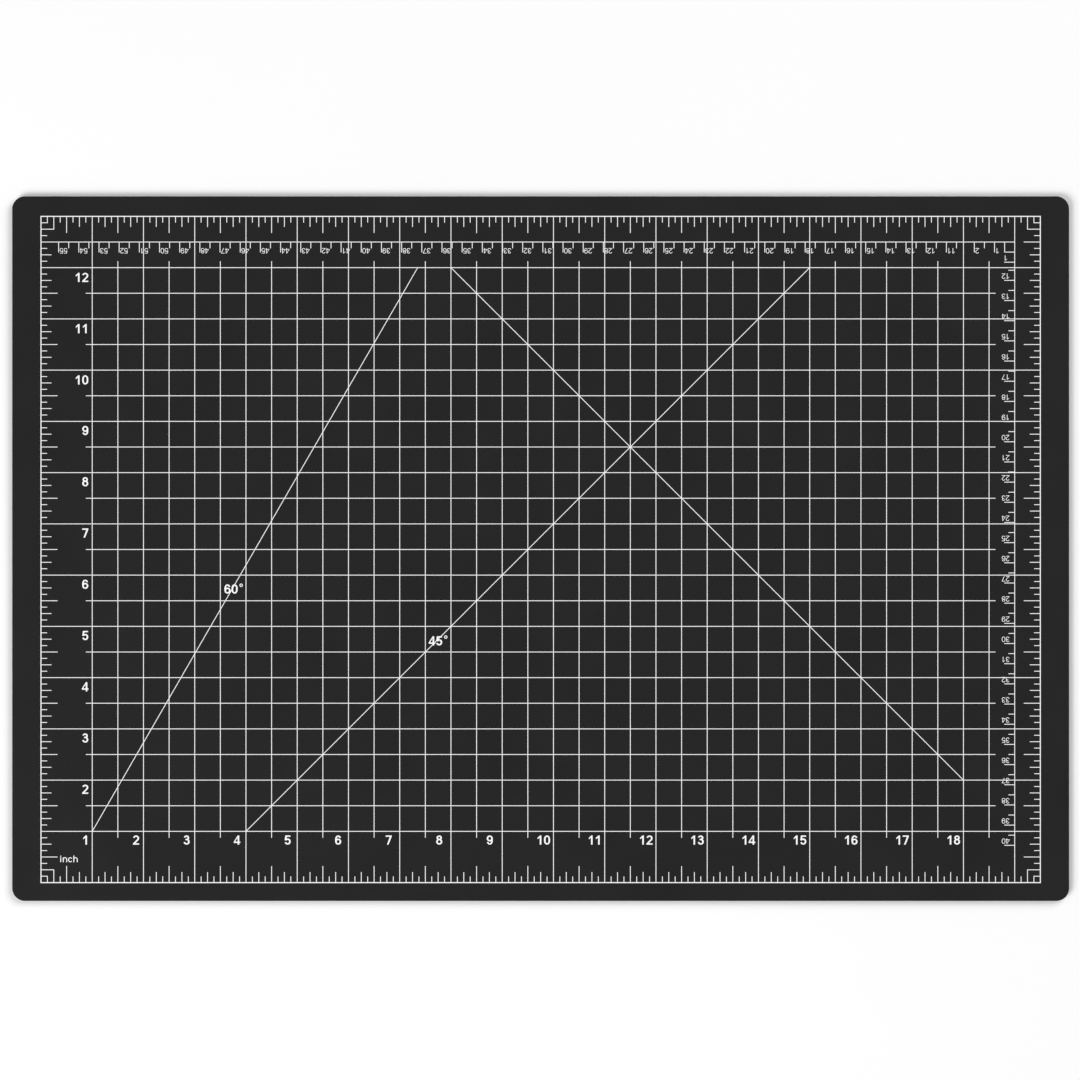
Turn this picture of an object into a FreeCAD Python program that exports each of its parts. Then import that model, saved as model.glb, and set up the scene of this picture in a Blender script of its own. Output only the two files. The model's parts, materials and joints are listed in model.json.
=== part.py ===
import FreeCAD, Part
import math
import os

import Sketcher

# A self healing cutting mat, lying flat. The origin is the middle of its underside, +X runs along the
# long edge to the right, +Y to the back edge and +Z up through the plies to the printed face.
#
# The printed rulers have an origin of their own, the front left corner of the border line (the middle
# of the line's width). Every printed mark is laid out from there, x to the right and y to the back.

# alias, value in millimetres unless the note says otherwise, note
DIMENSIONS = [
    ("mat_length", 523.875, "20 5/8 inch"),
    ("mat_width", 349.25, "13 3/4 inch"),
    ("corner_radius", 6.35, "die-cut corners, 1/4 inch"),
    ("edge_ease", 0.2, "softened rim of the two outer skins"),
    ("skin_thickness", 0.8, "cutting skin, one on each face"),
    ("tie_thickness", 0.3, "tie ply between a skin and the core"),
    ("core_thickness", 0.8, "stiff core sheet"),
    ("ink_thickness", 0.05, "screen-printed film"),
    ("inch_pitch", 25.4, "one inch"),
    ("centimetre_pitch", 10, "one centimetre"),
    ("inches_long", 19.5, "border line, in inches along x"),
    ("inches_wide", 13, "border line, in inches along y"),
    ("front_margin", 9.1, "front edge of the mat to the border line"),
    ("border_width", 0.46, "width of the border line"),
    ("line_width", 0.34, "width of every other line and tick"),
    ("eighth_length", 3.05, "1/8 inch ticks"),
    ("quarter_length", 5.2, "1/4 inch ticks"),
    ("half_length", 8.2, "1/2 inch ticks"),
    ("overrun", 3.175, "half-inch lines past the last line they cross"),
    ("zero_column", 19, "centimetre zero, in inches along x"),
    ("zero_row", 12.5, "centimetre zero, in inches along y"),
    ("centimetre_length", 5.15, "centimetre ticks"),
    ("half_centimetre_length", 3.1, "half-centimetre ticks"),
    ("back_start", 8.75, "leftmost centimetre tick of the back ruler"),
    ("side_start", 18.5, "front-most centimetre tick of the side ruler"),
    ("steep_angle", 60, "degrees"),
    ("mitre_angle", 45, "degrees"),
    ("inch_digit", 4.53, "height of the inch numerals"),
    ("centimetre_digit", 2.6, "height of the centimetre numerals"),
    ("unit_letter", 3.25, "height of the tall letter of the unit label"),
    ("degree_ring", 1.65, "outer diameter of the degree ring"),
    ("degree_stroke", 0.39, "stroke of the degree ring"),
]

LAST_INCH_COLUMN = 19
LAST_INCH_ROW = 12

# The two centimetre rulers read from the zero at the back right, upside down as seen from the front.
# Each number stands at a tick. The sequences skip as printed: 1, 2, 11 ... 55 and 1, 12 ... 40.
BACK_FAR_NUMBERS = range(55, 10, -1)
BACK_NEAR_NUMBERS = (1, 2)
SIDE_FAR_NUMBERS = range(40, 11, -1)
SIDE_NEAR_NUMBER = 1

# Where the lettering stands. Inch numerals: drop of the baselines below the inch lines, on the front
# ruler and for one and two digits on the left one. Then, on the front ruler, the middle of a one-digit
# number, its pitch, and the middle of a two-digit number left of its inch line.
FRONT_BASELINE_DROP = 6.56
LEFT_SINGLE_DROP = 6.79
LEFT_DOUBLE_DROP = 7.1
SINGLE_MIDDLE = 22.1
SINGLE_PITCH = 25.04
DOUBLE_OFFSET = 4.95
LEFT_NUMBERS_END = 23.7
UNIT_LABEL_START = (9.25, 10.15)
BACK_NUMBER_GAP = 0.4
BACK_BASELINE_DROP = 3.05
SIDE_NUMBER_MIDDLE = 4.5
SIDE_BASELINE_RISE = 3.38
STEEP_LABEL_MIDDLE = (94.2, 143.27)
MITRE_LABEL_MIDDLE = (195.6, 117.57)
DEGREE_SHIFT = (5.02, 1.85)

# A piece of a letter that a line leaves over is dropped below this area, in square millimetres.
SCRAP_AREA = 0.1

doc = FreeCAD.newDocument("CuttingMat")
sheet = doc.addObject("Spreadsheet::Sheet", "Dims")
for row, (alias, number, note) in enumerate(DIMENSIONS, start=1):
    sheet.set(f"A{row}", str(number))
    sheet.setAlias(f"A{row}", alias)
doc.recompute()

nodes = []


def value(expression):
    """A sheet expression as a plain number."""
    return float(sheet.evalExpression(expression))


def inches(count):
    """An expression for a place a number of inches along a ruler."""
    return f"({count}) * Dims.inch_pitch"


BORDER_X = "Dims.inches_long * Dims.inch_pitch"
BORDER_Y = "Dims.inches_wide * Dims.inch_pitch"
INNER = "Dims.border_width / 2"
HALF_LINE = "Dims.line_width / 2"
ZERO_X = "Dims.zero_column * Dims.inch_pitch"
ZERO_Y = "Dims.zero_row * Dims.inch_pitch"
WHOLE_TICK = "Dims.centimetre_length"
HALF_TICK = "Dims.half_centimetre_length"
PLY_STACK = "2 * Dims.skin_thickness + 2 * Dims.tie_thickness + Dims.core_thickness"
RULER_ORIGIN = (
    "-Dims.inches_long * Dims.inch_pitch / 2",
    "Dims.front_margin - Dims.mat_width / 2",
    PLY_STACK,
)


# ---------------------------------------------------------------- sketches, pads and rows


def new_body(name, origin=RULER_ORIGIN):
    """A body whose own origin stands at three expressions."""
    body = doc.addObject("PartDesign::Body", name)
    for axis, expression in zip("xyz", origin):
        body.setExpression(f"Placement.Base.{axis}", expression)
    return body


def origin_feature(body, role):
    return next(f for f in body.Origin.OriginFeatures if f.Role == role)


def add_outline(sketch, corners):
    """A closed outline of straight lines. Each corner is a pair of expressions, x and y."""
    points = [FreeCAD.Vector(value(x), value(y), 0) for x, y in corners]
    first = sketch.GeometryCount
    count = len(points)
    for i in range(count):
        sketch.addGeometry(Part.LineSegment(points[i], points[(i + 1) % count]), False)
    for i in range(count):
        line, following = first + i, first + (i + 1) % count
        sketch.addConstraint(Sketcher.Constraint("Coincident", line, 2, following, 1))
    for i, corner in enumerate(corners):
        for kind, place, expression in zip(("DistanceX", "DistanceY"), points[i], corner):
            number = sketch.addConstraint(
                Sketcher.Constraint(kind, -1, 1, first + i, 1, place)
            )
            sketch.setExpression(f"Constraints[{number}]", expression)


def add_pad(body, outlines, depth):
    """One sketch of outlines on the body's XY plane, padded up by an expression."""
    sketch = body.newObject("Sketcher::SketchObject", f"{body.Name}Outline")
    sketch.AttachmentSupport = (origin_feature(body, "XY_Plane"), [""])
    sketch.MapMode = "FlatFace"
    for corners in outlines:
        add_outline(sketch, corners)
    pad = body.newObject("PartDesign::Pad", f"{body.Name}Pad")
    pad.Profile = sketch
    pad.setExpression("Length", depth)
    body.Tip = pad
    doc.recompute()
    return pad


def film(name, outlines):
    """A body of printed film: outlines at the rulers' origin, padded to the ink's thickness."""
    body = new_body(name)
    add_pad(body, outlines, "Dims.ink_thickness")
    return body


def film_row(name, outline, axis, spacing, count):
    """A printed outline repeated along X or Y."""
    body = film(name, [outline])
    row = body.newObject("PartDesign::LinearPattern", f"{body.Name}Row")
    row.Originals = [body.Tip]
    row.Direction = (origin_feature(body, f"{axis}_Axis"), [""])
    row.Mode = "Spacing"
    row.setExpression("Offset", spacing)
    row.Occurrences = count
    body.Tip = row
    doc.recompute()
    return body


def film_field(name, outline, spacing, columns, rows):
    """A printed outline repeated along X and then along Y."""
    body = film_row(name, outline, "X", spacing, columns)
    field = body.Tip
    field.Direction2 = (origin_feature(body, "Y_Axis"), [""])
    field.Mode2 = "Spacing"
    field.setExpression("Offset2", spacing)
    field.Occurrences2 = rows
    doc.recompute()
    return body


def rectangle(x0, y0, x1, y1):
    return [(x0, y0), (x1, y0), (x1, y1), (x0, y1)]


def upright(x, y0, y1):
    """A printed line along y, its middle at x."""
    return rectangle(f"{x} - {HALF_LINE}", y0, f"{x} + {HALF_LINE}", y1)


def level(y, x0, x1):
    """A printed line along x, its middle at y."""
    return rectangle(x0, f"{y} - {HALF_LINE}", x1, f"{y} + {HALF_LINE}")


def keep(feature, label):
    """Make an object a sub-part: its label names its file."""
    feature.Label = label
    nodes.append(feature)
    return feature


def gathered(films, label):
    """Several bodies of film as one sub-part."""
    group = doc.addObject("Part::Compound", f"{films[0].Name}Group")
    group.Links = films
    return keep(group, label)


def trimmed(base, tools):
    """A film cut back to the edges of the films that it meets, so that no two overlap."""
    for tool in tools:
        cut = doc.addObject("Part::Cut", f"{base.Name}Trim")
        cut.Base = base
        cut.Tool = tool
        base = cut
    doc.recompute()
    return base


# ---------------------------------------------------------------- plies


def rounded_ply(name, label, height, thickness, eased=None):
    """A full-size sheet with die-cut corners. eased is "top" or "bottom" for a skin with a soft rim."""
    body = new_body(name, ("-Dims.mat_length / 2", "-Dims.mat_width / 2", height))
    add_pad(body, [rectangle("0", "0", "Dims.mat_length", "Dims.mat_width")], thickness)
    add_fillet(body, is_corner_edge, "Dims.corner_radius")
    if eased:
        rim = value(thickness) if eased == "top" else 0.0
        add_fillet(body, lambda edge: is_level_edge(edge, rim), "Dims.edge_ease")
    keep(body, label)


def is_corner_edge(edge):
    return edge.BoundBox.XLength < 1e-6 and edge.BoundBox.YLength < 1e-6


def is_level_edge(edge, height):
    box = edge.BoundBox
    return abs(box.ZMin - height) < 1e-6 and abs(box.ZMax - height) < 1e-6


def add_fillet(body, wanted, radius):
    """Round the edges of the body's last feature for which wanted(edge) holds."""
    base = body.Tip
    names = [f"Edge{i}" for i, e in enumerate(base.Shape.Edges, start=1) if wanted(e)]
    fillet = body.newObject("PartDesign::Fillet", f"{body.Name}Fillet")
    fillet.Base = (base, names)
    fillet.setExpression("Radius", radius)
    body.Tip = fillet
    doc.recompute()


def make_plies():
    skin, tie, core = "Dims.skin_thickness", "Dims.tie_thickness", "Dims.core_thickness"
    rounded_ply("BottomSkin", "bottom_cutting_skin", "0", skin, eased="bottom")
    rounded_ply("LowerTie", "lower_tie_ply", skin, tie)
    rounded_ply("Core", "core_sheet", f"{skin} + {tie}", core)
    rounded_ply("UpperTie", "upper_tie_ply", f"{skin} + {tie} + {core}", tie)
    rounded_ply("TopSkin", "top_cutting_skin", f"{skin} + 2 * {tie} + {core}", skin, eased="top")


# ---------------------------------------------------------------- border, grids and inch ticks


def make_border():
    outer = rectangle(f"-{INNER}", f"-{INNER}", f"{BORDER_X} + {INNER}", f"{BORDER_Y} + {INNER}")
    inner = rectangle(INNER, INNER, f"{BORDER_X} - {INNER}", f"{BORDER_Y} - {INNER}")
    keep(film("Border", [outer, inner]), "border_line")


def make_inch_columns():
    column = upright(inches(1), INNER, f"{BORDER_Y} - {INNER}")
    columns = film_row("InchColumns", column, "X", "Dims.inch_pitch", LAST_INCH_COLUMN)
    return keep(columns, "inch_lines_upright")


def make_inch_rows(columns):
    """Returns the whole lines, from which the sub-part is the lengths between the upright lines."""
    line = level(inches(1), INNER, f"{BORDER_X} - {INNER}")
    rows = film_row("InchRows", line, "Y", "Dims.inch_pitch", LAST_INCH_ROW)
    keep(trimmed(rows, [columns]), "inch_lines_level")
    return rows


def cross(cx, cy, left, right, front, back):
    """A printed cross with its middle at cx, cy and its arms' ends at four places."""
    west, east = f"{cx} - {HALF_LINE}", f"{cx} + {HALF_LINE}"
    south, north = f"{cy} - {HALF_LINE}", f"{cy} + {HALF_LINE}"
    outline = [(left, south), (west, south), (west, front), (east, front), (east, south), (right, south)]
    outline += [(right, north), (east, north), (east, back), (west, back), (west, north), (left, north)]
    return outline


def make_half_inch_lines():
    """A cross in every inch square, and the overrun of each line past the outer inch lines."""
    pitch, columns, rows = "Dims.inch_pitch", LAST_INCH_COLUMN - 1, LAST_INCH_ROW - 1
    middle, last_column = inches(1.5), inches(columns + 0.5)
    start, end = f"{inches(1)} + {HALF_LINE}", f"{inches(2)} - {HALF_LINE}"
    last_start, last_end = f"{inches(columns)} + {HALF_LINE}", f"{last_column} + Dims.overrun"
    near = f"{inches(1)} - Dims.overrun", f"{inches(1)} - {HALF_LINE}"
    far = f"{inches(rows + 1)} + {HALF_LINE}", f"{inches(rows + 1)} + Dims.overrun"

    full_cross = cross(middle, middle, start, end, start, end)
    short_cross = cross(last_column, middle, last_start, last_end, start, end)
    films = [
        film_field("HalfCrosses", full_cross, pitch, columns - 1, rows),
        film_row("HalfLastCrosses", short_cross, "Y", pitch, rows),
        film_row("HalfFrontOverrun", upright(middle, *near), "X", pitch, columns),
        film_row("HalfBackOverrun", upright(middle, *far), "X", pitch, columns),
        film_row("HalfLeftOverrun", level(middle, *near), "Y", pitch, rows),
    ]
    gathered(films, "half_inch_lines")


def make_half_inch_guides():
    """The same half-inch lines whole, to trim the angle lines with."""
    start, pitch = inches(1), "Dims.inch_pitch"
    column = upright(inches(1.5), start, inches(LAST_INCH_ROW))
    row = level(inches(1.5), start, inches(LAST_INCH_COLUMN))
    return [
        film_row("HalfColumnGuide", column, "X", pitch, LAST_INCH_COLUMN - 1),
        film_row("HalfRowGuide", row, "Y", pitch, LAST_INCH_ROW - 1),
    ]


def tick_count(side, start, spacing):
    """How many ticks a side takes, with `start` inches left free at each end."""
    return int((value(side) - 2 * start) / spacing) + 1


def make_inch_ticks(name, label, length, start, spacing, left_free=0):
    """Ticks on the inside of all four sides of the border, the first one `start` inches along.

    left_free is how many back-most ticks the left side goes without.
    """
    place, pitch = inches(start), inches(spacing)
    long_count = tick_count("Dims.inches_long", start, spacing)
    short_count = tick_count("Dims.inches_wide", start, spacing)
    front = upright(place, INNER, length)
    back = upright(place, f"{BORDER_Y} - {length}", f"{BORDER_Y} - {INNER}")
    left = level(place, INNER, length)
    right = level(place, f"{BORDER_X} - {length}", f"{BORDER_X} - {INNER}")
    films = [
        film_row(f"{name}Front", front, "X", pitch, long_count),
        film_row(f"{name}Back", back, "X", pitch, long_count),
        film_row(f"{name}Left", left, "Y", pitch, short_count - left_free),
        film_row(f"{name}Right", right, "Y", pitch, short_count),
    ]
    gathered(films, label)


def angle_bracket(reach, foot, from_x, from_y, sign_x, sign_y):
    """An L whose two legs close a square in a corner of the rulers.

    reach is the side of the square, and foot is where the two legs end, both measured from the corner
    (from_x, from_y) along sign_x and sign_y.
    """
    far, near = f"({reach} + {HALF_LINE})", f"({reach} - {HALF_LINE})"
    corners = [(foot, far), (far, far), (far, foot), (near, foot), (near, near), (foot, near)]
    return [(f"{from_x} {sign_x} {x}", f"{from_y} {sign_y} {y}") for x, y in corners]


def make_corner_squares():
    """Where the 1/8 and 1/4 inch ticks of two sides meet, they close two nested squares."""
    brackets = []
    for reach in (inches(1 / 8), inches(1 / 4)):
        for from_x, sign_x in (("0", "+"), (BORDER_X, "-")):
            for from_y, sign_y in (("0", "+"), (BORDER_Y, "-")):
                brackets.append(angle_bracket(reach, INNER, from_x, from_y, sign_x, sign_y))
    keep(film("CornerSquares", brackets), "corner_squares")


# ---------------------------------------------------------------- centimetre rulers


def make_centimetre_zero():
    """The back ruler's own base line, and the half-centimetre square at the zero of both rulers."""
    between = level(ZERO_Y, f"{inches(1)} + {HALF_LINE}", f"{inches(2)} - {HALF_LINE}")
    before_first = level(ZERO_Y, INNER, f"{inches(1)} - {HALF_LINE}")
    films = [
        film_row("BaseLine", between, "X", "Dims.inch_pitch", LAST_INCH_COLUMN - 1),
        film("BaseLineStart", [before_first]),
    ]
    gathered(films, "centimetre_base_line")
    square = angle_bracket("Dims.centimetre_pitch / 2", HALF_LINE, ZERO_X, ZERO_Y, "-", "-")
    keep(film("ZeroSquare", [square]), "centimetre_zero_square")


def hanging(x, length):
    """A tick down from the back ruler's base line."""
    return upright(x, f"{ZERO_Y} - {length}", f"{ZERO_Y} - {HALF_LINE}")


def pointing(y, length):
    """A tick to the left from the last inch line, which is the side ruler's base line."""
    return level(y, f"{ZERO_X} - {length}", f"{ZERO_X} - {HALF_LINE}")


def make_back_ticks(inch_columns):
    pitch, half = "Dims.centimetre_pitch", "Dims.centimetre_pitch / 2"
    far_count, near_count = len(BACK_FAR_NUMBERS), len(BACK_NEAR_NUMBERS)
    near_start = f"{ZERO_X} - {near_count} * {pitch}"
    far, near = hanging("Dims.back_start", WHOLE_TICK), hanging(near_start, WHOLE_TICK)
    far_row = film_row("BackTicks", far, "X", pitch, far_count)
    near_row = film_row("BackNearTicks", near, "X", pitch, near_count)
    gathered([trimmed(far_row, [inch_columns]), near_row], "centimetre_ticks_back")

    far, near = f"Dims.back_start + {half}", f"{near_start} + {half}"
    far_row = film_row("BackHalfTicks", hanging(far, HALF_TICK), "X", pitch, far_count)
    near_tick = film("BackNearHalfTick", [hanging(near, HALF_TICK)])
    gathered([trimmed(far_row, [inch_columns]), near_tick], "half_centimetre_ticks_back")


def make_side_ticks(inch_rows):
    pitch, half, count = "Dims.centimetre_pitch", "Dims.centimetre_pitch / 2", len(SIDE_FAR_NUMBERS)
    far_row = film_row("SideTicks", pointing("Dims.side_start", WHOLE_TICK), "Y", pitch, count)
    near = pointing(f"{ZERO_Y} - {SIDE_NEAR_NUMBER} * {pitch}", WHOLE_TICK)
    near_tick = film("SideNearTick", [near])
    gathered([trimmed(far_row, [inch_rows]), near_tick], "centimetre_ticks_side")

    half_tick = pointing(f"Dims.side_start + {half}", HALF_TICK)
    half_row = film_row("SideHalfTicks", half_tick, "Y", pitch, count)
    keep(trimmed(half_row, [inch_rows]), "half_centimetre_ticks_side")


# ---------------------------------------------------------------- angle lines


def slanted_line(name, start, end, angle):
    """A printed line between two inch rows. start and end are (x, y) expressions of its middle."""
    half = f"{HALF_LINE} / sin({angle} * 1deg)"
    (x0, y0), (x1, y1) = start, end
    foot = [(f"{x0} - {half}", y0), (f"{x0} + {half}", y0)]
    head = [(f"{x1} + {half}", y1), (f"{x1} - {half}", y1)]
    return film(name, [foot + head])


def make_angle_lines(lines, steep_label, mitre_label):
    """The 60 degree line and two 45 degree lines, each cut by its own label and by the inch lines."""
    first, last = inches(1), inches(LAST_INCH_ROW)
    rise = f"({last} - {first})"
    steep_end = f"{inches(1)} + {rise} / tan(Dims.steep_angle * 1deg)"
    steep = slanted_line("SteepLine", (inches(1), first), (steep_end, last), "Dims.steep_angle")
    keep(trimmed(steep, [steep_label] + lines), "angle_line_60")

    rising_end = f"{inches(4)} + {rise} / tan(Dims.mitre_angle * 1deg)"
    rising = slanted_line("RisingLine", (inches(4), first), (rising_end, last), "Dims.mitre_angle")
    falling_ends = (inches(18), inches(2)), (inches(8), last)
    falling = slanted_line("FallingLine", *falling_ends, "Dims.mitre_angle")
    keep(trimmed(falling, [rising] + lines), "angle_line_45_falling")
    keep(trimmed(rising, [mitre_label] + lines), "angle_line_45_rising")


# ---------------------------------------------------------------- lettering
#
# Plain upright numerals and letters, made of elliptical rings, bars and straight-sided shapes. A glyph
# is drawn for a digit height of 1, with its baseline at y = 0 and its left side bearing from x = 0.

ADVANCE = 0.777
MIDDLE = ADVANCE / 2
BOWL = 0.33

# The two bowls of the 3 and the 8: half height of each, half width of the upper one, and the middle
# height of the waist where they meet.
LOWER_BOWL = 0.315
UPPER_BOWL = 0.255
UPPER_HALF_WIDTH = 0.29
WAIST = 0.56


class Weight:
    """Stroke widths as shares of the digit height: stem across, bar up and down."""

    def __init__(self, stem, bar):
        self.stem = stem
        self.bar = bar


BOLD = Weight(0.17, 0.143)
MEDIUM = Weight(0.133, 0.114)
REGULAR = Weight(0.105, 0.092)


def face(points):
    corners = [FreeCAD.Vector(x, y, 0) for x, y in points]
    return Part.Face(Part.makePolygon(corners + corners[:1]))


def bar(x0, y0, x1, y1):
    return face([(x0, y0), (x1, y0), (x1, y1), (x0, y1)])


def half_ellipse(cx, cy, rx, ry, turn):
    """The upper half of an ellipse, from right to left. With turn 180, the lower half back again."""
    centre = FreeCAD.Vector(cx, cy, 0)
    right, top = centre + FreeCAD.Vector(rx, 0, 0), centre + FreeCAD.Vector(0, ry, 0)
    left = centre - FreeCAD.Vector(rx, 0, 0)
    start = math.radians(turn)
    if rx > ry:
        return Part.ArcOfEllipse(Part.Ellipse(right, top, centre), start, start + math.pi).toShape()
    start -= math.pi / 2
    return Part.ArcOfEllipse(Part.Ellipse(top, left, centre), start, start + math.pi).toShape()


def oval(cx, cy, rx, ry, straight=0.0):
    """An ellipse whose halves are parted by a straight stretch."""
    up, down = cy + straight / 2, cy - straight / 2
    edges = [half_ellipse(cx, up, rx, ry, 0), half_ellipse(cx, down, rx, ry, 180)]
    if straight:
        left = Part.makeLine((cx - rx, up, 0), (cx - rx, down, 0))
        right = Part.makeLine((cx + rx, down, 0), (cx + rx, up, 0))
        edges = [edges[0], left, edges[1], right]
    return Part.Face(Part.Wire(edges))


def ring(weight, cx, cy, rx, ry, straight=0.0):
    """A bowl stroked with the weight's stem at its sides and its bar at top and bottom."""
    hole = oval(cx, cy, rx - weight.stem, ry - weight.bar, straight)
    return oval(cx, cy, rx, ry, straight).cut(hole)


def sector(cx, cy, from_angle, to_angle, reach=2.0, widest_step=45):
    """A fan round a centre, wide enough to keep part of a bowl. Angles in degrees."""
    steps = math.ceil((to_angle - from_angle) / widest_step)
    rim = []
    for i in range(steps + 1):
        angle = math.radians(from_angle + (to_angle - from_angle) * i / steps)
        rim.append((cx + reach * math.cos(angle), cy + reach * math.sin(angle)))
    return face([(cx, cy)] + rim)


def arc_of_bowl(weight, cx, cy, rx, ry, from_angle, to_angle):
    return ring(weight, cx, cy, rx, ry).common(sector(cx, cy, from_angle, to_angle))


def zero(w):
    return [ring(w, MIDDLE, 0.5, BOWL, 0.4, 0.2)]


def one(w):
    right = 0.5 + 0.25 * w.stem
    left = right - w.stem
    flag_end, flag_top = 0.13, 0.74
    flag_foot = flag_top - 0.87 * w.stem
    flag_join = flag_foot + 0.69 * (left - flag_end)
    outline = [(left, 0), (right, 0), (right, 1), (right - 0.78 * w.stem, 1), (flag_end, flag_top)]
    return [face(outline + [(flag_end, flag_foot), (left, flag_join)])]


def two(w):
    cy, ry = 0.69, 0.31
    bowl = arc_of_bowl(w, MIDDLE, cy, BOWL, ry, -32, 165)
    outer = (MIDDLE + 0.85 * BOWL, cy - 0.53 * ry)
    inner = (MIDDLE + 0.85 * (BOWL - w.stem), cy - 0.53 * (ry - w.bar))
    left = MIDDLE - BOWL - 0.01
    heel = left + 1.45 * w.stem
    slope = face([(left, 0), (heel, 0), (heel, w.bar), outer, inner, (left, 0.72 * w.bar)])
    return [bowl, slope, bar(heel, 0, MIDDLE + BOWL, w.bar)]


def three(w):
    upper = arc_of_bowl(w, MIDDLE - 0.01, 1 - UPPER_BOWL, UPPER_HALF_WIDTH, UPPER_BOWL, -90, 172)
    lower = arc_of_bowl(w, MIDDLE, LOWER_BOWL, BOWL, LOWER_BOWL, -170, 90)
    waist = bar(MIDDLE - 0.12, WAIST - w.bar / 2, MIDDLE + 0.02, WAIST + w.bar / 2)
    return [upper, lower, waist]


def four(w):
    right = 0.585 + 0.18 * w.stem
    left = right - w.stem
    foot, cap = 0.18, 0.18 + w.bar
    tip = left + 0.1 * w.stem
    outline = [(left, 0), (right, 0), (right, foot), (0.735, foot), (0.735, cap), (right, cap)]
    outline += [(right, 1), (tip, 1), (0.025, cap), (0.025, foot), (left, foot)]
    peak = 1 - 1.35 * w.stem
    slope = (1 - cap) / (tip - 0.025)
    return [face(outline).cut(face([(left, cap), (left, peak), (left - (peak - cap) / slope, cap)]))]


def five(w):
    bowl = arc_of_bowl(w, MIDDLE, 0.335, BOWL, 0.335, -162, 136)
    stem_left = MIDDLE - BOWL + 0.08
    outline = [(stem_left, 1), (stem_left + w.stem, 1), (stem_left + w.stem - 0.06, 0.56)]
    outline += [(MIDDLE - 0.4 * BOWL, 0.45), (stem_left - 0.075, 0.475)]
    return [bowl, face(outline), bar(stem_left, 1 - w.bar, MIDDLE + BOWL - 0.03, 1)]


def six(w):
    outer = ring(w, MIDDLE, 0.5, BOWL, 0.4, 0.2)
    kept = [(-0.1, 0.335), (MIDDLE - 0.06, 0.335), (MIDDLE, 0.68), (1.2, 0.86), (1.2, 1.2), (-0.1, 1.2)]
    return [ring(w, MIDDLE, 0.325, BOWL, 0.325), outer.common(face(kept))]


def seven(w):
    left, right = MIDDLE - BOWL, MIDDLE + BOWL
    foot = left + 0.14
    outline = [(foot, 0), (foot + w.stem, 0), (right, 1 - 0.8 * w.bar), (right, 1)]
    outline += [(left, 1), (left, 1 - w.bar), (right - 1.18 * w.stem, 1 - w.bar)]
    return [face(outline)]


def eight(w):
    lower = ring(w, MIDDLE, LOWER_BOWL, BOWL, LOWER_BOWL)
    return [lower, ring(w, MIDDLE, 1 - UPPER_BOWL, UPPER_HALF_WIDTH, UPPER_BOWL)]


def nine(w):
    turned = []
    for shape in six(w):
        turned.append(shape.rotated(FreeCAD.Vector(MIDDLE, 0.5, 0), FreeCAD.Vector(0, 0, 1), 180))
    return turned


def letter_i(w):
    return [bar(0.1, 0, 0.1 + w.stem, 0.725), bar(0.1, 0.82, 0.1 + w.stem, 1)]


def letter_n(w, height=0.725):
    cx, cy, rx, ry = 0.43, 0.42, 0.327, 0.32
    arch = arc_of_bowl(w, cx, cy, rx, ry, 0, 180)
    right = cx + rx
    return [arch, bar(0.1, 0, 0.1 + w.stem, height), bar(right - w.stem, 0, right, cy)]


def letter_c(w):
    return [arc_of_bowl(w, 0.38, 0.365, 0.325, 0.375, 38, 322)]


def letter_h(w):
    return letter_n(w, height=1)


GLYPHS = {
    "0": (zero, ADVANCE),
    "1": (one, ADVANCE),
    "2": (two, ADVANCE),
    "3": (three, ADVANCE),
    "4": (four, ADVANCE),
    "5": (five, ADVANCE),
    "6": (six, ADVANCE),
    "7": (seven, ADVANCE),
    "8": (eight, ADVANCE),
    "9": (nine, ADVANCE),
    "i": (letter_i, 0.388),
    "n": (letter_n, 0.853),
    "c": (letter_c, 0.755),
    "h": (letter_h, 0.853),
}
drawn = {}


def glyph(character, weight, height):
    """One glyph as a film with its pieces merged. Each is drawn once."""
    if (character, weight, height) not in drawn:
        depth = FreeCAD.Vector(0, 0, value("Dims.ink_thickness"))
        shapes = GLYPHS[character][0](weight)
        pieces = [shape.scaled(height).extrude(depth) for shape in shapes]
        merged = pieces[0].fuse(pieces[1:]) if len(pieces) > 1 else pieces[0]
        drawn[character, weight, height] = merged.removeSplitter()
    return drawn[character, weight, height]


def text_length(text, height):
    return height * sum(GLYPHS[character][1] for character in text)


def lettering(text, weight, height, x, y, align, upside_down=False):
    """The solids of a text whose anchor on the baseline is at x, y.

    align is the share of the text's length that lies before the anchor: 0 start, 0.5 middle, 1 end.
    """
    solids = []
    along = -align * text_length(text, height)
    for character in text:
        shape = glyph(character, weight, height).translated(FreeCAD.Vector(along, 0, 0))
        if upside_down:
            shape.rotate(FreeCAD.Vector(0, 0, 0), FreeCAD.Vector(0, 0, 1), 180)
        shape.translate(FreeCAD.Vector(x, y, 0))
        solids += shape.Solids
        along += height * GLYPHS[character][1]
    return solids


def degree_ring(x, y):
    radius, height = value("Dims.degree_ring") / 2, value("Dims.ink_thickness")
    outer = Part.makeCylinder(radius, height, FreeCAD.Vector(x, y, 0))
    return outer.cut(
        Part.makeCylinder(radius - value("Dims.degree_stroke"), height, FreeCAD.Vector(x, y, 0))
    )


def printed(name, label, solids):
    """Printed lettering as one sub-part, laid on the mat at the rulers' origin."""
    feature = doc.addObject("Part::Feature", name)
    feature.Shape = Part.makeCompound(solids)
    feature.Placement.Base = ruler_origin()
    return keep(feature, label)


def ruler_origin():
    return FreeCAD.Vector(*[value(expression) for expression in RULER_ORIGIN])


def clear_of(solids, lines):
    """Letters cut back to the edges of the printed lines that run through them, less the scraps."""
    scrap = SCRAP_AREA * value("Dims.ink_thickness")
    for band in lines.Shape.translated(ruler_origin() * -1).Solids:
        kept = []
        for solid in solids:
            touches = band.BoundBox.intersect(solid.BoundBox)
            kept += solid.cut(band).Solids if touches else [solid]
        solids = [solid for solid in kept if solid.Volume > scrap]
    return solids


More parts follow.
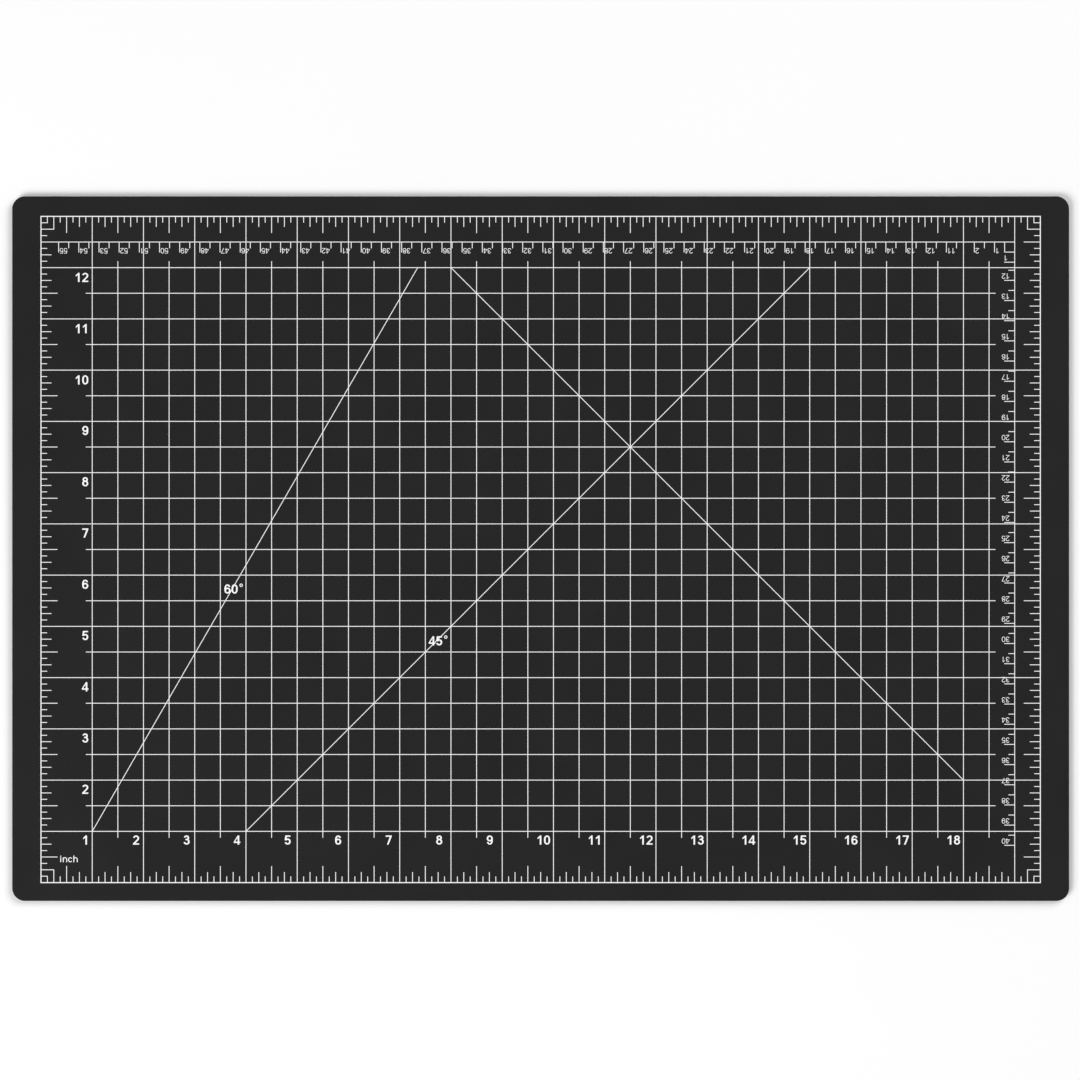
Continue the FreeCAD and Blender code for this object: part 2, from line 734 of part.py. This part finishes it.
def make_inch_numerals():
    height, pitch = value("Dims.inch_digit"), value("Dims.inch_pitch")
    front = []
    for number in range(1, LAST_INCH_COLUMN):
        middle = SINGLE_MIDDLE + SINGLE_PITCH * (number - 1)
        if number > 9:
            middle = pitch * number - DOUBLE_OFFSET
        front += lettering(str(number), BOLD, height, middle, pitch - FRONT_BASELINE_DROP, 0.5)
    printed("FrontNumerals", "inch_numerals_front", front)

    left = []
    for number in range(2, LAST_INCH_ROW + 1):
        drop = LEFT_SINGLE_DROP if number < 10 else LEFT_DOUBLE_DROP
        left += lettering(str(number), BOLD, height, LEFT_NUMBERS_END, pitch * number - drop, 1)
    printed("LeftNumerals", "inch_numerals_left", left)

    label = lettering("inch", MEDIUM, value("Dims.unit_letter"), *UNIT_LABEL_START, 0)
    printed("UnitLabel", "inch_label", label)


def make_centimetre_numerals(inch_columns, inch_rows):
    height, pitch = value("Dims.centimetre_digit"), value("Dims.centimetre_pitch")
    zero_x, zero_y = value(ZERO_X), value(ZERO_Y)
    back_start, side_start = value("Dims.back_start"), value("Dims.side_start")

    ticks = [(n, back_start + pitch * i) for i, n in enumerate(BACK_FAR_NUMBERS)]
    ticks += [(n, zero_x - pitch * n) for n in BACK_NEAR_NUMBERS]
    back = []
    for number, tick in ticks:
        x, y = tick + BACK_NUMBER_GAP, zero_y - BACK_BASELINE_DROP
        back += lettering(str(number), REGULAR, height, x, y, 1, upside_down=True)
    printed("BackNumerals", "centimetre_numerals_back", clear_of(back, inch_columns))

    ticks = [(n, side_start + pitch * i) for i, n in enumerate(SIDE_FAR_NUMBERS)]
    ticks.append((SIDE_NEAR_NUMBER, zero_y - pitch * SIDE_NEAR_NUMBER))
    side = []
    for number, tick in ticks:
        x, y = zero_x - SIDE_NUMBER_MIDDLE, tick + SIDE_BASELINE_RISE
        side += lettering(str(number), REGULAR, height, x, y, 0.5, upside_down=True)
    printed("SideNumerals", "centimetre_numerals_side", clear_of(side, inch_rows))


def make_angle_label(name, label, text, middle):
    """Two digits across an angle line, with a degree ring after them."""
    height = value("Dims.inch_digit")
    x, y = middle
    solids = lettering(text, BOLD, height, x, y, 0.5)
    solids.append(degree_ring(x + DEGREE_SHIFT[0], y + height / 2 + DEGREE_SHIFT[1]))
    return printed(name, label, solids)


# ---------------------------------------------------------------- the whole mat


def check_objects():
    """Stop if any object failed or any sub-part is not a valid closed shape."""
    doc.recompute()
    for item in doc.Objects:
        if {"Invalid", "Error"} & set(item.State):
            raise RuntimeError(f"{item.Name} failed: {item.State}")
    for node in nodes:
        shape = node.Shape
        if shape.isNull() or not shape.isValid() or not shape.Solids:
            raise RuntimeError(f"{node.Label} is not valid")


def write_parts():
    os.makedirs("parts", exist_ok=True)
    for node in nodes:
        node.Shape.exportStep(f"parts/{node.Label}.step")
        print(f"{node.Label:30} solids {len(node.Shape.Solids):4}  volume {node.Shape.Volume:10.2f}")


make_plies()
make_border()
inch_columns = make_inch_columns()
inch_rows = make_inch_rows(inch_columns)
make_half_inch_lines()
# The 1/8 and 1/4 inch marks nearest to a corner belong to the corner squares. On the left side, the
# back-most half-inch mark is the centimetre ruler's base line.
make_inch_ticks("Eighth", "eighth_inch_ticks", "Dims.eighth_length", start=3 / 8, spacing=1 / 4)
make_inch_ticks("Quarter", "quarter_inch_ticks", "Dims.quarter_length", start=3 / 4, spacing=1 / 2)
make_inch_ticks("Half", "half_inch_ticks", "Dims.half_length", start=1 / 2, spacing=1, left_free=1)
make_corner_squares()
make_centimetre_zero()
make_back_ticks(inch_columns)
make_side_ticks(inch_rows)
make_inch_numerals()
make_centimetre_numerals(inch_columns, inch_rows)
steep_label = make_angle_label("SteepLabel", "angle_label_60", "60", STEEP_LABEL_MIDDLE)
mitre_label = make_angle_label("MitreLabel", "angle_label_45", "45", MITRE_LABEL_MIDDLE)
trimming_lines = [inch_columns, inch_rows] + make_half_inch_guides()
make_angle_lines(trimming_lines, steep_label, mitre_label)
check_objects()
write_parts()
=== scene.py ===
import json
import math

import bmesh
import bpy
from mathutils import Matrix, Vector


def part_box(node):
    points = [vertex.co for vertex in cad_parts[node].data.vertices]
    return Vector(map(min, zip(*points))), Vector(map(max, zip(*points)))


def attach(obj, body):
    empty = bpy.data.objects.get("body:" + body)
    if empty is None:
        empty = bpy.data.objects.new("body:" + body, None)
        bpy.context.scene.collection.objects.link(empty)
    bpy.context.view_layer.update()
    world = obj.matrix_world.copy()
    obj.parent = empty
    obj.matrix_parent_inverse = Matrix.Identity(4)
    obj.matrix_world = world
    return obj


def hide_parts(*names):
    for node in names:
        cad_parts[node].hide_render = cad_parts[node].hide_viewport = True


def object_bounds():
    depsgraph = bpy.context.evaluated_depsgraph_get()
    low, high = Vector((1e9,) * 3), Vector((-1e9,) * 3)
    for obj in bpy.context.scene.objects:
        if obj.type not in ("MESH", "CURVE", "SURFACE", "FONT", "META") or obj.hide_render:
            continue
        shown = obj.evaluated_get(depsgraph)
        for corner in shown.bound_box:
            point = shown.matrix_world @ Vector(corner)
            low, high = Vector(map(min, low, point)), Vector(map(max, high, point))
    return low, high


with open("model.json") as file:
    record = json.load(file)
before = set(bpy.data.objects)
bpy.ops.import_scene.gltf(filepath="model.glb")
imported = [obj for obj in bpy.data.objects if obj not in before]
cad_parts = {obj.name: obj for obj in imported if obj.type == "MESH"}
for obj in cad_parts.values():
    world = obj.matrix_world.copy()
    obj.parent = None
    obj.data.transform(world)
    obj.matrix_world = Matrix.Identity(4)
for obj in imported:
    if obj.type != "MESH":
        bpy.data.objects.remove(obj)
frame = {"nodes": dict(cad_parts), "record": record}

# A self healing cutting mat, lying flat on a pale floor and seen from straight above. Metres, in the
# CAD model's frame: the origin is the middle of the underside, +Z is up through the printed face.

CAD_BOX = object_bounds()
MM = 0.001

# The five plies. The two skins keep the CAD model's outline. The plies between them are set back by
# a hair, as a die leaves them, so that the laminate lines show round the edge.
CORNER_RADIUS = 6.35 * MM
CORNER_STEPS = 16
RIM_EASE = 0.2 * MM
ARRIS = 0.05 * MM
ARC_STEPS = 4
TIE_SETBACK = 0.06 * MM
CORE_SETBACK = 0.02 * MM

PLIES = {
    "bottom_cutting_skin": {"setback": 0.0, "rim_below": RIM_EASE, "rim_above": ARRIS},
    "lower_tie_ply": {"setback": TIE_SETBACK, "rim_below": ARRIS, "rim_above": ARRIS},
    "core_sheet": {"setback": CORE_SETBACK, "rim_below": ARRIS, "rim_above": ARRIS},
    "upper_tie_ply": {"setback": TIE_SETBACK, "rim_below": ARRIS, "rim_above": ARRIS},
    "top_cutting_skin": {"setback": 0.0, "rim_below": ARRIS, "rim_above": RIM_EASE},
}

# A ply's edge has the second of its two materials.
EDGE_MATERIAL = 1

# The grain pressed into the skin, which the ink film follows: pebbles with finer noise on them. A
# pebble ends at this share of its size from its middle.
PEBBLE = 0.55 * MM
PEBBLE_SMOOTHNESS = 0.6
PEBBLE_REACH = 0.8
FINE_GRAIN = 0.22 * MM
FINE_GRAIN_SHARE = 0.5

# The skin's changes of tone.
CLOUD = 45 * MM
CLOUD_SHARE = 0.6
MOTTLE = 6 * MM
MOTTLE_SHARE = 0.4

# The marks that a die leaves down a cut edge, longer along the cut's travel, and broader patches.
DRAG_MARK = 0.4 * MM
DRAG_STRETCH = (1.0, 1.0, 5.0)
DRAG_SHARE = 0.5
PATCH = 9 * MM
PATCH_SHARE = 0.5

# How broad the thin places of the ink and the clouds of the floor are.
INK_THINNING = 0.9 * MM
FLOOR_CLOUD = 400 * MM

# Noise seldom goes outside these values.
NOISE_LOW = 0.3
NOISE_HIGH = 0.7

# The bumps' depths.
SKIN_RELIEF = 0.035 * MM
CUT_RELIEF = 0.06 * MM
INK_RELIEF = 0.02 * MM

# Roughness, from a surface's smoothest places to its roughest.
SKIN_ROUGHNESS = (0.42, 0.5)
INK_ROUGHNESS = (0.48, 0.6)
CUT_ROUGHNESS_SPREAD = 0.2
FLOOR_ROUGHNESS = 0.85

# Specular level.
MATT = 0.2
SATIN = 0.4

# Camera: straight above through a very long lens. The mat fills this share of the view's width, and
# its middle stands right of and below the view's middle by these shares of the width.
LENS = 300.0
SENSOR = 36.0
CLIP_END = 100.0
VIEW_FILL = 0.9787
VIEW_RIGHT = 0.0006
VIEW_DOWN = 0.0080

SOFTBOX_DISTANCE = 3.4
SURROUND_STRENGTH = 0.25
FLOOR_HALF_SIDE = 12.0
FLOOR_SEGMENTS = 8


# ---------------------------------------------------------------- node helpers


class Nodes:
    """A material's node tree, with short ways to add and join nodes."""

    def __init__(self, name):
        self.material = bpy.data.materials.new(name)
        self.material.use_nodes = True
        self.tree = self.material.node_tree
        self.tree.nodes.clear()
        self.shader = self.add("ShaderNodeBsdfPrincipled")
        output = self.add("ShaderNodeOutputMaterial")
        self.link(self.shader.outputs["BSDF"], output.inputs["Surface"])
        self.place = self.add("ShaderNodeTexCoord").outputs["Object"]

    def add(self, kind, **settings):
        node = self.tree.nodes.new(kind)
        for key, setting in settings.items():
            setattr(node, key, setting)
        return node

    def link(self, source, target):
        self.tree.links.new(source, target)

    def noise(self, size, detail=2.0, roughness=0.5, stretch=(1.0, 1.0, 1.0)):
        """Noise from 0 to 1 with features of a size in metres, stretched along the axes."""
        mapping = self.add("ShaderNodeMapping")
        mapping.inputs["Scale"].default_value = [1.0 / (size * s) for s in stretch]
        self.link(self.place, mapping.inputs["Vector"])
        node = self.add("ShaderNodeTexNoise")
        node.inputs["Scale"].default_value = 1.0
        node.inputs["Detail"].default_value = detail
        node.inputs["Roughness"].default_value = roughness
        self.link(mapping.outputs["Vector"], node.inputs["Vector"])
        return node.outputs["Fac"]

    def pebbles(self, size):
        """Rounded cells, 1 at their middles, of a size in metres."""
        node = self.add("ShaderNodeTexVoronoi", feature="SMOOTH_F1")
        node.inputs["Scale"].default_value = 1.0 / size
        node.inputs["Smoothness"].default_value = PEBBLE_SMOOTHNESS
        self.link(self.place, node.inputs["Vector"])
        return self.spread(node.outputs["Distance"], 0.0, PEBBLE_REACH, 1.0, 0.0)

    def pressed_grain(self):
        """The height of the grain, 1 at the pebbles' middles."""
        return self.weigh(self.pebbles(PEBBLE), self.noise(FINE_GRAIN), FINE_GRAIN_SHARE)

    def spread(self, source, from_low, from_high, to_low, to_high):
        """A value mapped from one range to another and clamped."""
        node = self.add("ShaderNodeMapRange")
        names = ("From Min", "From Max", "To Min", "To Max")
        for name, number in zip(names, (from_low, from_high, to_low, to_high)):
            node.inputs[name].default_value = number
        self.link(source, node.inputs["Value"])
        return node.outputs["Result"]

    def spread_noise(self, noise, to_low, to_high):
        """Noise mapped from the values it usually has to a range, and clamped."""
        return self.spread(noise, NOISE_LOW, NOISE_HIGH, to_low, to_high)

    def blend(self, factor, first, second):
        """A colour between two, by a factor from 0 to 1."""
        node = self.add("ShaderNodeMix", data_type="RGBA")
        node.inputs["A"].default_value = (*first, 1.0)
        node.inputs["B"].default_value = (*second, 1.0)
        self.link(factor, node.inputs["Factor"])
        return node.outputs["Result"]

    def weigh(self, first, second, share):
        """The sum of two values, the second times a share."""
        node = self.add("ShaderNodeMath", operation="MULTIPLY_ADD")
        self.link(second, node.inputs[0])
        node.inputs[1].default_value = share
        self.link(first, node.inputs[2])
        return node.outputs["Value"]

    def relief(self, height, depth, strength):
        """Bump the surface by a height from 0 to 1 that stands for a depth in metres."""
        node = self.add("ShaderNodeBump")
        node.inputs["Strength"].default_value = strength
        node.inputs["Distance"].default_value = depth
        self.link(height, node.inputs["Height"])
        self.link(node.outputs["Normal"], self.shader.inputs["Normal"])

    def colour(self, source):
        self.link(source, self.shader.inputs["Base Color"])

    def roughness(self, source):
        self.link(source, self.shader.inputs["Roughness"])

    def gloss(self, level):
        self.shader.inputs["Specular IOR Level"].default_value = level


def grey(level, warmth=0.0):
    """A linear grey, a little warmer or cooler."""
    return (level * (1 + warmth), level, level * (1 - warmth))


# ---------------------------------------------------------------- materials


# A surface's colour runs between two greys.
SKIN_GREYS = (grey(0.0078), grey(0.0100))
INK_GREYS = (grey(0.84, warmth=0.004), grey(0.93))
FLOOR_GREYS = (grey(0.87), grey(0.9))

# The die-cut edges: the two greys, and the roughness of the smoothest places.
SKIN_CUT = {"greys": (grey(0.011), grey(0.018)), "smoothest": 0.42}
TIE_CUT = {"greys": (grey(0.045), grey(0.065)), "smoothest": 0.5}
CORE_CUT = {"greys": (grey(0.006), grey(0.011)), "smoothest": 0.35}


def make_skin_material():
    """Matt PVC with a pressed pebble grain and faint, broad changes of tone from the calender."""
    m = Nodes("pvc_cutting_skin")
    cloud = m.noise(CLOUD, detail=3.0)
    mottle = m.noise(MOTTLE, detail=4.0, roughness=0.6)
    tone = m.weigh(m.spread_noise(cloud, 0.0, CLOUD_SHARE), mottle, MOTTLE_SHARE)
    m.colour(m.blend(tone, *SKIN_GREYS))
    m.roughness(m.spread(tone, 0.0, 1.0, *SKIN_ROUGHNESS))
    m.relief(m.pressed_grain(), SKIN_RELIEF, strength=0.75)
    m.gloss(MATT)
    return m.material


def make_cut_material(name, greys, smoothest):
    """The die-cut edge of a ply: drawn-out marks along the cut's travel, slightly glossier."""
    m = Nodes(name)
    drag = m.noise(DRAG_MARK, detail=4.0, roughness=0.6, stretch=DRAG_STRETCH)
    patch = m.noise(PATCH, detail=2.0)
    tone = m.weigh(m.spread_noise(patch, 0.0, PATCH_SHARE), drag, DRAG_SHARE)
    m.colour(m.blend(tone, *greys))
    m.roughness(m.spread_noise(drag, smoothest, smoothest + CUT_ROUGHNESS_SPREAD))
    m.relief(drag, CUT_RELIEF, strength=0.9)
    m.gloss(SATIN)
    return m.material


def make_ink_material():
    """White screen-printing ink: a thin film that follows the skin's grain, a little uneven."""
    m = Nodes("screen_ink_white")
    thin = m.noise(INK_THINNING, detail=4.0, roughness=0.65)
    m.colour(m.blend(m.spread_noise(thin, 0.0, 1.0), *INK_GREYS))
    m.roughness(m.spread_noise(thin, *INK_ROUGHNESS))
    m.relief(m.pressed_grain(), INK_RELIEF, strength=0.5)
    m.gloss(SATIN)
    return m.material


def make_floor_material():
    m = Nodes("pale_floor")
    m.colour(m.blend(m.noise(FLOOR_CLOUD, detail=3.0), *FLOOR_GREYS))
    m.shader.inputs["Roughness"].default_value = FLOOR_ROUGHNESS
    m.gloss(MATT)
    return m.material


# ---------------------------------------------------------------- the plies


def add_object(name, data):
    """A new object in the scene, at the origin."""
    added = bpy.data.objects.new(name, data)
    bpy.context.scene.collection.objects.link(added)
    return added


def slot_of(node):
    """The record's material slot of a CAD node."""
    return next(s["material_slot"] for s in frame["record"]["subparts"] if s["node"] == node)


def rounded_outline(half_x, half_y, radius):
    """The corners' points of a rounded rectangle, counter-clockwise from the right side."""
    centres = [(1, 1), (-1, 1), (-1, -1), (1, -1)]
    points = []
    for quarter, (sx, sy) in enumerate(centres):
        cx, cy = sx * (half_x - radius), sy * (half_y - radius)
        for step in range(CORNER_STEPS + 1):
            angle = math.pi / 2 * (quarter + step / CORNER_STEPS)
            points.append((cx + radius * math.cos(angle), cy + radius * math.sin(angle)))
    return points


def edge_profile(low, high, setback, rim_below, rim_above):
    """(inset, z) from the lower face up to the upper one, with a quarter round at each arris."""
    angles = [math.pi / 2 * step / ARC_STEPS for step in range(ARC_STEPS + 1)]
    lower_round = [
        (setback + rim_below * (1 - math.sin(angle)), low + rim_below * (1 - math.cos(angle)))
        for angle in angles
    ]
    upper_round = [
        (setback + rim_above * (1 - math.cos(angle)), high - rim_above * (1 - math.sin(angle)))
        for angle in angles
    ]
    return lower_round + upper_round


def make_ply(node, shape, face_material, edge_material):
    """A ply as rings of points up its edge, closed by its two faces. Stands for the CAD node."""
    low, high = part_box(node)
    half_x, half_y = (high.x - low.x) / 2, (high.y - low.y) / 2
    mesh = bmesh.new()
    rings = []
    for inset, z in edge_profile(low.z, high.z, **shape):
        outline = rounded_outline(half_x - inset, half_y - inset, CORNER_RADIUS - inset)
        rings.append([mesh.verts.new((x, y, z)) for x, y in outline])
    for lower, upper in zip(rings, rings[1:]):
        for i in range(len(lower)):
            j = (i + 1) % len(lower)
            side = mesh.faces.new((lower[i], lower[j], upper[j], upper[i]))
            side.material_index = EDGE_MATERIAL
            side.smooth = True
    mesh.faces.new(reversed(rings[0]))
    mesh.faces.new(rings[-1])
    data = bpy.data.meshes.new(f"{node}_sheet")
    mesh.to_mesh(data)
    mesh.free()
    data.materials.append(face_material)
    data.materials.append(edge_material)
    piece = add_object(f"{node}_sheet", data)
    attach(piece, "root")
    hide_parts(node)


def make_plies():
    skin = make_skin_material()
    skin_cut = make_cut_material("pvc_cut_edge", **SKIN_CUT)
    tie = make_cut_material("tie_ply_plastic", **TIE_CUT)
    core = make_cut_material("core_plastic", **CORE_CUT)
    surfaces = {"cutting_skin": (skin, skin_cut), "tie_ply": (tie, tie), "core": (core, core)}
    for node, shape in PLIES.items():
        make_ply(node, shape, *surfaces[slot_of(node)])


def print_the_marks():
    """Every printed node keeps its CAD shape and gets the ink."""
    ink = make_ink_material()
    for name, node in frame["nodes"].items():
        if slot_of(name) == "printed_ink":
            node.data.materials.clear()
            node.data.materials.append(ink)


# ---------------------------------------------------------------- stage, light and camera


def make_floor():
    mesh = bmesh.new()
    bmesh.ops.create_grid(
        mesh, x_segments=FLOOR_SEGMENTS, y_segments=FLOOR_SEGMENTS, size=FLOOR_HALF_SIDE
    )
    data = bpy.data.meshes.new("floor")
    mesh.to_mesh(data)
    mesh.free()
    data.materials.append(make_floor_material())
    floor = add_object("floor", data)
    floor.location.z = CAD_BOX[0].z


def make_softbox(name, azimuth, elevation, strength, side):
    """A square softbox that faces the mat. Azimuth 0 shines from the front, 90 from the right."""
    light = bpy.data.lights.new(name, "AREA")
    light.energy = strength
    light.size = side
    lamp = add_object(name, light)
    a, e = math.radians(azimuth), math.radians(elevation)
    towards = Vector((math.sin(a) * math.cos(e), -math.cos(a) * math.cos(e), math.sin(e)))
    lamp.location = towards * SOFTBOX_DISTANCE
    lamp.rotation_euler = towards.to_track_quat("Z", "Y").to_euler()


def make_light():
    make_softbox("key_light", azimuth=-50, elevation=42, strength=96, side=2.0)
    make_softbox("fill_light", azimuth=130, elevation=42, strength=74, side=2.4)
    world = bpy.data.worlds.new("studio")
    world.use_nodes = True
    background = world.node_tree.nodes["Background"]
    background.inputs["Color"].default_value = (1.0, 1.0, 1.0, 1.0)
    background.inputs["Strength"].default_value = SURROUND_STRENGTH
    bpy.context.scene.world = world
    bpy.context.scene.view_settings.view_transform = "Standard"


def make_camera():
    low, high = CAD_BOX
    view_width = (high.x - low.x) / VIEW_FILL
    data = bpy.data.cameras.new("camera")
    data.lens = LENS
    data.sensor_width = SENSOR
    data.clip_end = CLIP_END
    camera = add_object("camera", data)
    distance = view_width * LENS / SENSOR
    camera.location = (-VIEW_RIGHT * view_width, VIEW_DOWN * view_width, high.z + distance)
    bpy.context.scene.camera = camera


make_plies()
print_the_marks()
make_floor()
make_light()
make_camera()
